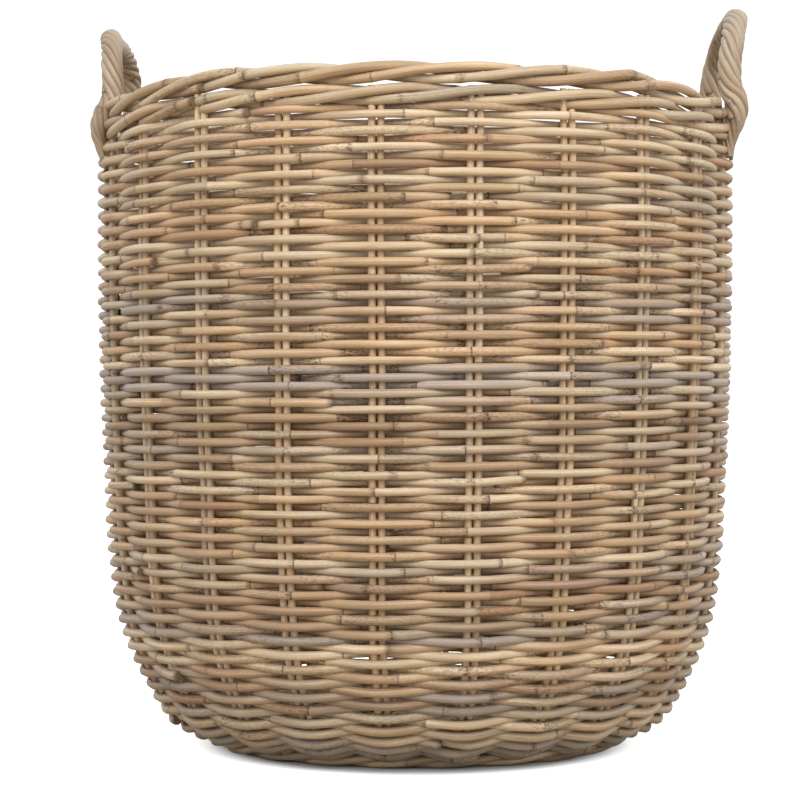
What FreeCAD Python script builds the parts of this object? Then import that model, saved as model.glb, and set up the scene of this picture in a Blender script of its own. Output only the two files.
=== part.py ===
import FreeCAD, Part

import math
import os

import Sketcher
from FreeCAD import Placement, Rotation, Vector

# A round hand-woven rattan laundry basket with two twisted cane handles.
# Frame: +Z up, the origin on the floor under the middle of the basket, handles on -X and +X.
# Lengths are millimetres and angles are degrees.

doc = FreeCAD.newDocument("LaundryBasket")
sheet = doc.addObject("Spreadsheet::Sheet", "Sizes")

sizes = {
    # the wall: a weaver, a stake and a weaver, one behind the other
    "wallRadius": 246.5,
    "wallThick": 17.0,
    # the wall is upright above fullHeight, and curves in below it on three tangent arcs,
    # the last of which ends level, where the base starts
    "fullHeight": 396.0,
    "flankHeight": 136.0,
    "bellyCurve": 3900.0,
    "flankCurve": 220.0,
    "cornerCurve": 60.0,
    # the rings of the wall, from the floor up
    "footHeight": 8.0,
    "footRadius": 164.0,
    "footWidth": 15.0,
    "footRound": 2.5,
    "lowerWaleTall": 28.0,
    "weaveTall": 430.0,
    "weaveBands": 8,
    "upperWaleTall": 13.0,
    "borderThick": 17.0,
    # the stakes, in pairs. stakeTurn puts one pair a little left of the front
    "stakePairs": 22,
    "stakeThick": 5.4,
    "stakeSpacing": 6.4,
    "stakeRoom": 0.4,
    "stakeTurn": 1.35,
    # the base: crossed sticks that fan out through a woven disc
    "baseStickThick": 6.5,
    "baseStickSpacing": 8.0,
    "baseStickRoom": 0.4,
    "acrossSticks": 5,
    "throughSticks": 6,
    "slathHalf": 34.0,
    "baseRoom": 0.5,
    # the handles: a rope of canes that arches from one side of its seat to the other
    "handleThick": 17.0,
    "handleSpread": 142.0,
    "handleRoom": 0.3,
    "leftHandleRise": 52.6,
    "rightHandleRise": 71.5,
    "leftHandleLean": 8.7,
    "rightHandleLean": 16.7,
    # the tails: the rope's ends, wrapped down over the outside of the border
    "tailAbove": 9.0,
    "tailBelow": 42.0,
    "tailThick": 10.5,
    "tailTip": 3.0,
    "tailWide": 19.0,
}

for row, (alias, number) in enumerate(sizes.items(), start=1):
    sheet.set(f"A{row}", alias)
    sheet.set(f"B{row}", str(number))
    sheet.setAlias(f"B{row}", alias)
doc.recompute()


def value(expression):
    """What an expression of the sheet's sizes comes to."""
    return float(sheet.evalExpression(expression.replace("Sizes.", "")))


# Heights and slopes that several pieces share, as expressions of the sizes.
weaveBottom = "(Sizes.footHeight + Sizes.lowerWaleTall)"
waleBottom = f"({weaveBottom} + Sizes.weaveTall)"
waleTop = f"({waleBottom} + Sizes.upperWaleTall)"
borderMiddle = f"({waleTop} + Sizes.borderThick / 2)"
wallMiddle = "(Sizes.wallRadius - Sizes.wallThick / 2)"
bellySine = "((Sizes.fullHeight - Sizes.flankHeight) / Sizes.bellyCurve)"
cornerShare = "(1 - Sizes.cornerCurve / Sizes.flankCurve)"
flatCorner = f"(1 - {bellySine} - Sizes.flankHeight / Sizes.flankCurve)"
cornerHeight = f"((Sizes.footHeight + Sizes.cornerCurve * {flatCorner}) / {cornerShare})"
flankSine = f"({bellySine} + (Sizes.flankHeight - {cornerHeight}) / Sizes.flankCurve)"
pairStep = "(360 / Sizes.stakePairs)"

up = Vector(0, 0, 1)
dimension = Sketcher.Constraint


def bind(thing, name, expression):
    thing.setExpression(name, expression)


def tie(sketch, name, constraint, expression):
    """Adds a dimension to the sketch and ties it to the sheet."""
    index = sketch.addConstraint(constraint)
    sketch.renameConstraint(index, name)
    bind(sketch, "Constraints." + name, expression)


def newBody(name):
    body = doc.addObject("PartDesign::Body", name)
    body.Label = name
    return body


def bodySketch(body, role):
    """A sketch on the body's own origin plane with this role."""
    sketch = body.newObject("Sketcher::SketchObject", body.Name + "_sketch")
    sketch.AttachmentSupport = [(f, "") for f in body.Origin.OriginFeatures if f.Role == role]
    sketch.MapMode = "FlatFace"
    return sketch


# The wall's curve.


def cornerCentre():
    """The middle of the corner arc, as its distance from the axis and its height."""
    belly = math.asin(value(bellySine))
    flank = math.asin(value(flankSine))
    toBelly = value("bellyCurve") - value("flankCurve")
    toFlank = value("flankCurve") - value("cornerCurve")
    radius = value("wallRadius - bellyCurve") + toBelly * math.cos(belly) + toFlank * math.cos(flank)
    height = value("fullHeight") - toBelly * math.sin(belly) - toFlank * math.sin(flank)
    return radius, height


def wallEdges(inset, top):
    """The wall's curve moved inwards by inset, as four edges from the bottom up."""
    belly = math.asin(value(bellySine))
    flank = math.asin(value(flankSine))
    bellyRadius = value("bellyCurve")
    flankRadius = value("flankCurve")
    cornerRadius = value("cornerCurve")
    bellyCentre = Vector(value("wallRadius") - bellyRadius, value("fullHeight"), 0)
    outwards = Vector(math.cos(belly), -math.sin(belly), 0)
    flankCentre = bellyCentre + outwards * (bellyRadius - flankRadius)
    upright = value("wallRadius") - inset

    def arc(centre, radius, low, high):
        return Part.ArcOfCircle(Part.Circle(centre, up, radius - inset), -low, -high)

    return [
        arc(Vector(*cornerCentre(), 0), cornerRadius, math.pi / 2, flank),
        arc(flankCentre, flankRadius, flank, belly),
        arc(bellyCentre, bellyRadius, belly, 0),
        Part.LineSegment(Vector(upright, value("fullHeight"), 0), Vector(upright, top, 0)),
    ]


def drawWallCurve(sketch, inset, top):
    """Draws the wall's curve and ties it to the sheet; inset and top are expressions."""
    for edge in wallEdges(value(inset), value(top)):
        sketch.addGeometry(edge, False)
    corner, flank, belly, upright = range(4)
    for lower, upper in ((corner, flank), (flank, belly), (belly, upright)):
        sketch.addConstraint(dimension("Tangent", lower, 2, upper, 1))
    sketch.addConstraint(dimension("Vertical", upright))
    sketch.addConstraint(dimension("Vertical", corner, 1, corner, 3))
    across = dimension("DistanceX", -1, 1, upright, 1, 1.0)
    tie(sketch, "upright", across, f"Sizes.wallRadius - {inset}")
    heights = {
        "cornerTop": (corner, 2, f"{cornerHeight} + {inset} * {flankSine}"),
        "flankTop": (flank, 2, f"Sizes.flankHeight + {inset} * {bellySine}"),
        "bellyTop": (belly, 2, "Sizes.fullHeight"),
        "top": (upright, 2, top),
    }
    for name, (edge, end, height) in heights.items():
        tie(sketch, name, dimension("DistanceY", -1, 1, edge, end, value(height)), height)
    curves = {"cornerCurve": corner, "flankCurve": flank, "bellyCurve": belly}
    for name, edge in curves.items():
        radius = f"Sizes.{name} - {inset}"
        tie(sketch, name, dimension("Radius", edge, value(radius)), radius)


def wallForm(name, inset, top):
    """The solid inside the wall's curve, turned about the basket's axis."""
    body = newBody(name)
    sketch = bodySketch(body, "XZ_Plane")
    drawWallCurve(sketch, inset, top)
    low = sketch.Geometry[0].StartPoint
    high = sketch.Geometry[3].EndPoint
    lid = sketch.addGeometry(Part.LineSegment(high, Vector(0, high.y, 0)), False)
    axis = sketch.addGeometry(Part.LineSegment(Vector(0, high.y, 0), Vector(0, low.y, 0)), False)
    floor = sketch.addGeometry(Part.LineSegment(Vector(0, low.y, 0), low), False)
    for first, second in ((3, lid), (lid, axis), (axis, floor), (floor, 0)):
        sketch.addConstraint(dimension("Coincident", first, 2, second, 1))
    sketch.addConstraint(dimension("Horizontal", lid))
    sketch.addConstraint(dimension("Horizontal", floor))
    sketch.addConstraint(dimension("PointOnObject", axis, 1, -2))
    sketch.addConstraint(dimension("PointOnObject", axis, 2, -2))
    turn = body.newObject("PartDesign::Revolution", name + "_turn")
    turn.Profile = sketch
    turn.ReferenceAxis = (sketch, ["V_Axis"])
    turn.Angle = 360.0
    doc.recompute()
    return body


# Swept canes.


def sweptCane(name, path, thick):
    """A round cane of thickness thick along a path sketch."""
    doc.recompute()
    first = path.Shape.Edges[0]
    along = first.tangentAt(first.FirstParameter)
    section = doc.addObject("Part::Circle", name + "_section")
    bind(section, "Radius", f"({thick}) / 2")
    section.Placement = Placement(first.valueAt(first.FirstParameter), Rotation(up, along))
    cane = doc.addObject("Part::Sweep", name)
    cane.Sections = [section]
    cane.Spine = (path, [f"Edge{i + 1}" for i in range(len(path.Shape.Edges))])
    cane.Solid = True
    cane.Frenet = False
    cane.Transition = "Right corner"
    return cane


def turned(name, pieces, angle):
    """The pieces as one group, turned about Z by an angle given as an expression."""
    group = doc.addObject("Part::Compound", name)
    group.Label = name
    group.Links = pieces
    group.Placement = Placement(Vector(0, 0, 0), Rotation(up, 0))
    bind(group, "Placement.Rotation.Angle", angle)
    return group


def mirrored(name, piece, normal):
    mirror = doc.addObject("Part::Mirroring", name)
    mirror.Source = piece
    mirror.Normal = normal
    return mirror


# Stakes.


def stakePath():
    """The middle line of the wall, from the edge of the base to the underside of the border."""
    path = doc.addObject("Sketcher::SketchObject", "stake_path")
    path.Placement = Placement(Vector(0, 0, 0), Rotation(Vector(1, 0, 0), 90))
    drawWallCurve(path, "Sizes.wallThick / 2", waleTop)
    return path


def besideMiddle(name, path, thick):
    """A cane along the wall, half the stake spacing to one side of the pair's middle."""
    cane = sweptCane(name, path, thick)
    bind(cane, "Placement.Base.y", "-Sizes.stakeSpacing / 2")
    return cane


def pairAngle(number):
    """Pair 1 starts the count beside -Y, the front; the count runs towards +X."""
    return f"-90 + Sizes.stakeTurn + ({number} - 1.5) * {pairStep}"


def stakeNodes(path):
    left = besideMiddle("stake_left", path, "Sizes.stakeThick")
    right = mirrored("stake_right", left, Vector(0, 1, 0))
    nodes = []
    for number in range(1, int(value("stakePairs")) + 1):
        nodes.append(turned(f"stake_pair_{number:02d}", [left, right], pairAngle(number)))
    return nodes


def stakeChannels(path):
    """What the stakes and the room round them take out of the rings of the wall."""
    left = besideMiddle("channel_left", path, "Sizes.stakeThick + 2 * Sizes.stakeRoom")
    right = mirrored("channel_right", left, Vector(0, 1, 0))
    pair = doc.addObject("Part::MultiFuse", "channel_pair")
    pair.Shapes = [left, right]
    groups = []
    for number in range(1, int(value("stakePairs")) + 1):
        groups.append(turned(f"channel_{number:02d}", [pair], pairAngle(number)))
    channels = doc.addObject("Part::Compound", "stake_channels")
    channels.Links = groups
    return channels


# The rings of the wall.


def wallRing(name, wall, bottom, tall):
    """The slice of the wall between two heights."""
    slab = doc.addObject("Part::Cylinder", name + "_slab")
    bind(slab, "Radius", "Sizes.wallRadius + Sizes.wallThick")
    bind(slab, "Height", tall)
    bind(slab, "Placement.Base.z", bottom)
    ring = doc.addObject("Part::Common", name)
    ring.Label = name
    ring.Base = wall
    ring.Tool = slab
    return ring


def wallRings(channels):
    bowl = doc.addObject("Part::Cut", "bowl")
    bowl.Base = wallForm("wall_outside", "0", waleTop)
    bowl.Tool = wallForm("wall_inside", "Sizes.wallThick", waleTop)
    opening = doc.addObject("Part::Cylinder", "base_opening")
    opening.Radius = cornerCentre()[0]
    bind(opening, "Height", "Sizes.footHeight + 2 * Sizes.wallThick")
    closed = doc.addObject("Part::Cut", "closed_wall")
    closed.Base = bowl
    closed.Tool = opening
    wall = doc.addObject("Part::Cut", "wall")
    wall.Base = closed
    wall.Tool = channels
    rings = [wallRing("lower_wale", wall, "Sizes.footHeight", "Sizes.lowerWaleTall")]
    bandTall = "(Sizes.weaveTall / Sizes.weaveBands)"
    for number in range(1, int(value("weaveBands")) + 1):
        bottom = f"{weaveBottom} + ({number} - 1) * {bandTall}"
        rings.append(wallRing(f"side_weave_{number}", wall, bottom, bandTall))
    rings.append(wallRing("upper_wale", wall, waleBottom, "Sizes.upperWaleTall"))
    return rings


def topBorder():
    border = doc.addObject("Part::Torus", "top_border")
    border.Label = "top_border"
    bind(border, "Radius1", wallMiddle)
    bind(border, "Radius2", "Sizes.borderThick / 2")
    bind(border, "Placement.Base.z", borderMiddle)
    return border


def footBorder():
    """The ring that the basket stands on, with its outer and inner lower edges rounded."""
    body = newBody("foot_border")
    sketch = bodySketch(body, "XY_Plane")
    for name, radius in (("outer", "Sizes.footRadius"), ("inner", "Sizes.footRadius - Sizes.footWidth")):
        circle = sketch.addGeometry(Part.Circle(Vector(0, 0, 0), up, value(radius)), False)
        sketch.addConstraint(dimension("Coincident", circle, 3, -1, 1))
        tie(sketch, name, dimension("Radius", circle, value(radius)), radius)
    pad = body.newObject("PartDesign::Pad", "foot_pad")
    pad.Profile = sketch
    bind(pad, "Length", "Sizes.footHeight")
    doc.recompute()
    edges = pad.Shape.Edges
    lowest = [f"Edge{i + 1}" for i, e in enumerate(edges) if e.BoundBox.ZMax < 0.001]
    rounding = body.newObject("PartDesign::Fillet", "foot_rounding")
    rounding.Base = (pad, lowest)
    bind(rounding, "Radius", "Sizes.footRound")
    return body


# The base.

def fannedPath(name, offset, angle, height, reach):
    """A base stick's line: parallel to X through the middle, then out along a spoke each way."""
    half = value("slathHalf")
    tips = Vector(reach * math.cos(angle), reach * math.sin(angle), 0)
    points = [
        Vector(-tips.x, tips.y, 0),
        Vector(-half, offset, 0),
        Vector(half, offset, 0),
        tips,
    ]
    path = doc.addObject("Sketcher::SketchObject", name)
    path.Placement = Placement(Vector(0, 0, height), Rotation())
    for start, end in zip(points, points[1:]):
        path.addGeometry(Part.LineSegment(start, end), False)
    path.addConstraint(dimension("Coincident", 0, 2, 1, 1))
    path.addConstraint(dimension("Coincident", 1, 2, 2, 1))
    ends = {"start": (0, 1), "left": (0, 2), "right": (1, 2), "end": (2, 2)}
    for (label, (edge, end)), point in zip(ends.items(), points):
        path.addConstraint(dimension("DistanceX", -1, 1, edge, end, point.x))
        path.addConstraint(dimension("DistanceY", -1, 1, edge, end, point.y))
    return path


def stickGroup(name, count, height, turn, thick, reach):
    """The sticks of one direction of the cross, side by side, each reach long from the middle."""
    canes = []
    for number in range(count):
        place = number - (count - 1) / 2
        offset = place * value("baseStickSpacing")
        angle = math.radians(place * value(pairStep))
        path = fannedPath(f"{name}_path_{number}", offset, angle, height, reach)
        canes.append(sweptCane(f"{name}_{number}", path, thick))
    return turned(name, canes, turn)


def baseNodes():
    """Two layers of sticks crossed in the middle, and the woven disc that holds their spokes."""
    middle = value("footHeight + wallThick / 2")
    layer = value("baseStickThick") / 2
    across = int(value("acrossSticks"))
    through = int(value("throughSticks"))
    thick = "Sizes.baseStickThick"
    wide = "Sizes.baseStickThick + 2 * Sizes.baseStickRoom"
    alongX = "Sizes.stakeTurn"
    alongY = "Sizes.stakeTurn + 90"
    edge = cornerCentre()[0] - value("baseRoom")
    past = edge + value("baseStickThick")
    lower = stickGroup("base_sticks_across", across, middle - layer, alongX, thick, edge)
    upper = stickGroup("base_sticks_through", through, middle + layer, alongY, thick, edge)
    lowerRoom = stickGroup("across_room", across, middle - layer, alongX, wide, past)
    upperRoom = stickGroup("through_room", through, middle + layer, alongY, wide, past)
    disc = doc.addObject("Part::Cylinder", "base_disc")
    disc.Radius = edge
    bind(disc, "Height", "Sizes.wallThick")
    bind(disc, "Placement.Base.z", "Sizes.footHeight")
    opened = doc.addObject("Part::Cut", "base_disc_lower")
    opened.Base = disc
    opened.Tool = lowerRoom
    weave = doc.addObject("Part::Cut", "base_weave")
    weave.Label = "base_weave"
    weave.Base = opened
    weave.Tool = upperRoom
    return [lower, upper, weave]


# The handles.


def handlePath(name, rise, lean, side):
    """The arch's middle line: an arc in an upright plane, leaning outwards about its seat."""
    half = value("handleSpread") / 2
    high = value(rise)
    seat = math.sqrt(value(wallMiddle) ** 2 - half**2)
    path = doc.addObject("Sketcher::SketchObject", name)
    upright = Rotation(Vector(0, 0, 1), 90) * Rotation(Vector(1, 0, 0), 90)
    leaning = Rotation(Vector(0, 1, 0), side * value(lean))
    path.Placement = Placement(Vector(side * seat, 0, value(borderMiddle)), leaning * upright)
    arc = Part.Arc(Vector(half, 0, 0), Vector(0, high, 0), Vector(-half, 0, 0))
    path.addGeometry(arc, False)
    path.addConstraint(dimension("PointOnObject", 0, 1, -1))
    path.addConstraint(dimension("PointOnObject", 0, 2, -1))
    path.addConstraint(dimension("PointOnObject", 0, 3, -2))
    tie(path, "spread", dimension("DistanceX", 0, 2, 0, 1, 2 * half), "Sizes.handleSpread")
    radius = f"(Sizes.handleSpread ^ 2 / 4 + Sizes.{rise} ^ 2) / (2 * Sizes.{rise})"
    tie(path, "curve", dimension("Radius", 0, value(radius)), radius)
    return path


def handleNode(name, rise, lean, side):
    """The rope's arch, cut to sit on the border."""
    path = handlePath(name + "_path", rise, lean, side)
    rope = sweptCane(name + "_rope", path, "Sizes.handleThick")
    seat = doc.addObject("Part::Torus", name + "_seat")
    bind(seat, "Radius1", wallMiddle)
    bind(seat, "Radius2", "Sizes.borderThick / 2 + Sizes.handleRoom")
    bind(seat, "Placement.Base.z", borderMiddle)
    handle = doc.addObject("Part::Cut", name)
    handle.Label = name
    handle.Base = rope
    handle.Tool = seat
    return handle


def tailNode(name, angle):
    """A tapered rope end that hugs the outside of the border and the weave below it."""
    body = newBody(name)
    sketch = bodySketch(body, "XZ_Plane")
    inner = "Sizes.wallRadius + Sizes.borderThick / 2 - Sizes.wallThick / 2 + Sizes.handleRoom"
    corners = {
        "low": (inner, f"{borderMiddle} - Sizes.tailBelow"),
        "tip": (f"{inner} + Sizes.tailTip", f"{borderMiddle} - Sizes.tailBelow"),
        "bulge": (f"{inner} + Sizes.tailThick", borderMiddle + " - Sizes.borderThick / 2"),
        "crest": (f"{inner} + Sizes.tailTip", f"{borderMiddle} + Sizes.tailAbove"),
        "high": (inner, f"{borderMiddle} + Sizes.tailAbove"),
    }
    points = {key: Vector(value(x), value(z), 0) for key, (x, z) in corners.items()}
    outer = Part.Arc(points["tip"], points["bulge"], points["crest"])
    sketch.addGeometry(Part.LineSegment(points["low"], points["tip"]), False)
    sketch.addGeometry(outer, False)
    sketch.addGeometry(Part.LineSegment(points["crest"], points["high"]), False)
    sketch.addGeometry(Part.LineSegment(points["high"], points["low"]), False)
    rising = sketch.Geometry[1].StartPoint.y < sketch.Geometry[1].EndPoint.y
    low, high = (1, 2) if rising else (2, 1)
    sketch.addConstraint(dimension("Coincident", 0, 2, 1, low))
    sketch.addConstraint(dimension("Coincident", 1, high, 2, 1))
    sketch.addConstraint(dimension("Coincident", 2, 2, 3, 1))
    sketch.addConstraint(dimension("Coincident", 3, 2, 0, 1))
    for key, edge, end in (("low", 0, 1), ("tip", 0, 2), ("crest", 2, 1), ("high", 2, 2)):
        x, z = corners[key]
        tie(sketch, key + "X", dimension("DistanceX", -1, 1, edge, end, value(x)), x)
        tie(sketch, key + "Z", dimension("DistanceY", -1, 1, edge, end, value(z)), z)
    turn = body.newObject("PartDesign::Revolution", name + "_turn")
    turn.Profile = sketch
    turn.ReferenceAxis = (sketch, ["V_Axis"])
    bind(turn, "Angle", "2 * asin(Sizes.tailWide / 2 / Sizes.wallRadius)")
    turn.Midplane = True
    body.Placement = Placement(Vector(0, 0, 0), Rotation(up, 0))
    bind(body, "Placement.Rotation.Angle", angle)
    return body


def tailNodes():
    swing = f"asin(Sizes.handleSpread / 2 / {wallMiddle})"
    return [
        tailNode("right_tail_front", f"-{swing}"),
        tailNode("right_tail_back", swing),
        tailNode("left_tail_front", f"180 deg + {swing}"),
        tailNode("left_tail_back", f"180 deg - {swing}"),
    ]


# The whole basket.


def buildNodes():
    path = stakePath()
    nodes = [footBorder()]
    nodes += wallRings(stakeChannels(path))
    nodes += stakeNodes(path)
    nodes += baseNodes()
    nodes.append(topBorder())
    nodes.append(handleNode("left_handle", "leftHandleRise", "leftHandleLean", -1))
    nodes.append(handleNode("right_handle", "rightHandleRise", "rightHandleLean", 1))
    nodes += tailNodes()
    doc.recompute()
    return nodes


def checkAll(nodes):
    """Stops when anything in the document failed, or a node's solids aren't sound."""
    failed = [o.Name for o in doc.Objects if "Invalid" in o.State or "Error" in o.State]
    unsound = [n.Label for n in nodes if n.Shape.isNull() or not n.Shape.isValid() or not n.Shape.Solids]
    if failed or unsound:
        raise RuntimeError(f"failed objects {failed}, unsound nodes {unsound}")


def writeNodes(nodes):
    os.makedirs("parts", exist_ok=True)
    for node in nodes:
        shape = node.Shape
        box = shape.optimalBoundingBox()
        print(f"{node.Label}: {len(shape.Solids)} solids, {shape.Volume / 1000:.1f} cm3, "
              f"x {box.XMin:.1f}..{box.XMax:.1f}, z {box.ZMin:.1f}..{box.ZMax:.1f}")
        shape.exportStep(f"parts/{node.Label}.step")


nodes = buildNodes()
checkAll(nodes)
writeNodes(nodes)
print(f"{len(nodes)} nodes written")
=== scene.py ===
import math

import bpy
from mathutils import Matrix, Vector


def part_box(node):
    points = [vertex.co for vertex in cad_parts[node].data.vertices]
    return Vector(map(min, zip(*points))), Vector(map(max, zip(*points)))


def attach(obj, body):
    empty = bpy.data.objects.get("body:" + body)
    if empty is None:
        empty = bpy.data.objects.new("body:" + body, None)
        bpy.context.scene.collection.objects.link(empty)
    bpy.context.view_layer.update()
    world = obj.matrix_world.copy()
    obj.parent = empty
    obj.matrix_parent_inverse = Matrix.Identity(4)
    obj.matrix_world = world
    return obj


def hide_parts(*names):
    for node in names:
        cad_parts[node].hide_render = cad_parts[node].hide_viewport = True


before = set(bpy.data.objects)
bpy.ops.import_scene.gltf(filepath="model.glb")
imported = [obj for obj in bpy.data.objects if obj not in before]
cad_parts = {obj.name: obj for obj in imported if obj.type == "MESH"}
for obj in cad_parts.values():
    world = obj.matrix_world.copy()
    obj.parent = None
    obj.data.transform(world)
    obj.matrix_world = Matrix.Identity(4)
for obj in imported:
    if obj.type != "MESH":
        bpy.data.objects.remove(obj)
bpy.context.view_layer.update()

fullTurn = 2 * math.pi
pairCount = 22           # stake pairs round the basket
pairShift = 1.35         # degrees that the pairs are turned from an even start at the front


# Node trees are wired with small helpers: a Wire is a socket that takes + - * / and powers,
# and each of these adds a Math node to its tree.

class Wire:
    def __init__(self, net, socket):
        self.net = net
        self.socket = socket

    def __add__(self, other):
        return self.net.math("ADD", self, other)

    def __radd__(self, other):
        return self.net.math("ADD", other, self)

    def __sub__(self, other):
        return self.net.math("SUBTRACT", self, other)

    def __rsub__(self, other):
        return self.net.math("SUBTRACT", other, self)

    def __mul__(self, other):
        return self.net.math("MULTIPLY", self, other)

    def __rmul__(self, other):
        return self.net.math("MULTIPLY", other, self)

    def __truediv__(self, other):
        return self.net.math("DIVIDE", self, other)

    def __pow__(self, other):
        return self.net.math("POWER", self, other)


class Net:
    def __init__(self, name, kind):
        self.tree = bpy.data.node_groups.new(name, kind)
        self.entry = self.tree.nodes.new("NodeGroupInput")
        self.exit = self.tree.nodes.new("NodeGroupOutput")

    def input(self, name, kind):
        self.tree.interface.new_socket(name, in_out="INPUT", socket_type="NodeSocket" + kind)
        return Wire(self, self.entry.outputs[name])

    def output(self, name, kind, value):
        self.tree.interface.new_socket(name, in_out="OUTPUT", socket_type="NodeSocket" + kind)
        self.tree.links.new(value.socket, self.exit.inputs[name])

    def put(self, socket, value):
        if isinstance(value, Wire):
            self.tree.links.new(value.socket, socket)
        else:
            socket.default_value = value

    def add(self, kind, inputs=None, settings=None, output=0):
        node = self.tree.nodes.new(kind)
        for name, value in (settings or {}).items():
            setattr(node, name, value)
        for name, value in (inputs or {}).items():
            self.put(next(s for s in node.inputs if s.enabled and s.name == name), value)
        found = [s for s in node.outputs if s.enabled]
        return Wire(self, found[output] if isinstance(output, int) else node.outputs[output])

    def math(self, operation, *values):
        node = self.tree.nodes.new("ShaderNodeMath")
        node.operation = operation
        for socket, value in zip(node.inputs, values):
            self.put(socket, value)
        return Wire(self, node.outputs[0])

    def vector(self, x, y, z):
        return self.add("ShaderNodeCombineXYZ", {"X": x, "Y": y, "Z": z})

    def part(self, vector, axis):
        return self.add("ShaderNodeSeparateXYZ", {"Vector": vector}, output=axis)

    def vectorMath(self, operation, *values):
        node = self.tree.nodes.new("ShaderNodeVectorMath")
        node.operation = operation
        for socket, value in zip((s for s in node.inputs if s.enabled), values):
            self.put(socket, value)
        return Wire(self, next(s for s in node.outputs if s.enabled))

    def scaled(self, vector, factor):
        return self.add("ShaderNodeVectorMath", {"Vector": vector, "Scale": factor}, {"operation": "SCALE"})

    def summed(self, first, second):
        return self.vectorMath("ADD", first, second)

    def ramp(self, value, low, high, start=0.0, end=1.0):
        inputs = {"Value": value, "From Min": low, "From Max": high, "To Min": start, "To Max": end}
        return self.add("ShaderNodeMapRange", inputs, {"interpolation_type": "SMOOTHSTEP"})

    def noise(self, vector, scale, detail=2.0, roughness=0.5):
        inputs = {"Vector": vector, "Scale": scale, "Detail": detail, "Roughness": roughness}
        return self.add("ShaderNodeTexNoise", inputs)

    def random(self, low, high, ident, seed):
        settings = {"data_type": "FLOAT"}
        inputs = {"Min": low, "Max": high, "ID": ident, "Seed": seed}
        return self.add("FunctionNodeRandomValue", inputs, settings)

    def follow(self, line, mode, where, index=0):
        # position, tangent and normal of a guide curve at a length or a factor along it
        node = self.tree.nodes.new("GeometryNodeSampleCurve")
        node.mode = mode
        curve = self.add("GeometryNodeObjectInfo", {"Object": line}, output="Geometry")
        self.put(node.inputs["Curves"], curve)
        self.put(next(s for s in node.inputs if s.enabled and s.name == mode.title()), where)
        self.put(node.inputs["Curve Index"], index)
        return [Wire(self, node.outputs[name]) for name in ("Position", "Tangent", "Normal")]


# Cane trees: every piece of the basket is round cane along some line.

caneShape = {
    "sides": 10,
    "internodeLow": 0.070,
    "internodeHigh": 0.150,
    "knuckleSwell": 0.09,
    "knuckleReach": 0.0035,
    "thickWander": 0.10,
}


def caneGrid(net, canes, points):
    # one long line of points, points to a cane; gives the cane's number and 0..1 along it
    mesh = net.add("GeometryNodeMeshLine", {"Count": canes * points}, {"mode": "OFFSET"})
    index = net.add("GeometryNodeInputIndex")
    cane = net.math("FLOOR", (index + 0.5) / points)
    step = (index - cane * points) / (points - 1)
    return mesh, cane, step


def caneTubes(net, mesh, cane, points, seed, place, thick, along, toEnd, depth, alive=1.0):
    look = caneShape
    internode = net.random(look["internodeLow"], look["internodeHigh"], cane, seed + 11)
    knuckles = along / internode + net.random(0.0, 50.0, cane, seed + 12)
    fraction = net.math("FRACT", knuckles)
    gap = net.math("MINIMUM", fraction, 1 - fraction) * internode
    swell = net.math("EXPONENT", (gap / look["knuckleReach"]) ** 2 * -1) * look["knuckleSwell"]
    slow = net.noise(net.vector(along * 9, cane * 3.7, 0), 1.0) - 0.5
    radius = thick * (1 + swell + slow * 2 * look["thickWander"]) * alive

    mesh = net.add("GeometryNodeSetPosition", {"Geometry": mesh, "Position": place})
    values = {
        "caneRadius": radius,
        "caneKnuckles": knuckles,
        "caneInternode": internode,
        "caneSeed": net.random(0.0, 1.0, cane, seed + 13),
        "caneDepth": depth,
        "caneEnd": toEnd,
    }
    for name, value in values.items():
        mesh = net.add("GeometryNodeStoreNamedAttribute", {"Geometry": mesh, "Name": name, "Value": value})
    ends = net.tree.nodes.new("GeometryNodeInputMeshEdgeVertices")
    first = Wire(net, ends.outputs["Vertex Index 1"])
    second = Wire(net, ends.outputs["Vertex Index 2"])
    jump = net.math("FLOOR", (first + 0.5) / points) - net.math("FLOOR", (second + 0.5) / points)
    cut = {"Geometry": mesh, "Selection": net.math("ABSOLUTE", jump)}
    mesh = net.add("GeometryNodeDeleteGeometry", cut, {"domain": "EDGE", "mode": "EDGE_FACE"})
    stored = net.add("GeometryNodeInputNamedAttribute", {"Name": "caneRadius"})
    dead = {"Geometry": mesh, "Selection": net.math("LESS_THAN", stored, 0.0001)}
    mesh = net.add("GeometryNodeDeleteGeometry", dead, {"domain": "POINT"})

    curve = net.add("GeometryNodeMeshToCurve", {"Mesh": mesh})
    ring = net.add("GeometryNodeCurvePrimitiveCircle", {"Resolution": look["sides"], "Radius": 1.0})
    side = {"Geometry": ring, "Name": "caneSide", "Value": net.add("GeometryNodeInputPosition")}
    ring = net.add("GeometryNodeStoreNamedAttribute", side, {"data_type": "FLOAT_VECTOR"})
    tube = {"Curve": curve, "Profile Curve": ring, "Scale": stored, "Fill Caps": True}
    tubes = net.add("GeometryNodeCurveToMesh", tube)
    corners = net.add("GeometryNodeInputMeshFaceNeighbors")
    shade = {"Geometry": tubes, "Shade Smooth": net.math("LESS_THAN", corners, 4.5)}
    tubes = net.add("GeometryNodeSetShadeSmooth", shade)
    tubes = net.add("GeometryNodeRealizeInstances", {"Geometry": tubes})
    return tubes


def finishTree(net, tubes):
    painted = {"Geometry": tubes, "Material": net.input("Material", "Material")}
    net.output("Geometry", "Geometry", net.add("GeometryNodeSetMaterial", painted))
    return net.tree


sagReach = (0.60, 0.94)   # cosines of the angles where the rim starts to sag, and sags in full


def sideSag(net, angle):
    # 0 at the front and back, 1 under the handles, where the rim is pulled down
    return net.ramp(net.math("ABSOLUTE", net.math("COSINE", angle)), *sagReach)


spliceShape = {
    "lift": 0.0012,           # how far an old end stands out, and the length it does so over
    "liftLength": 0.045,
    "tuck": 0.0042,           # how far a new end starts behind the row, and where it comes out
    "tuckFrom": 0.012,
    "tuckTo": 0.060,
    "shift": 0.0014,
}


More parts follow.
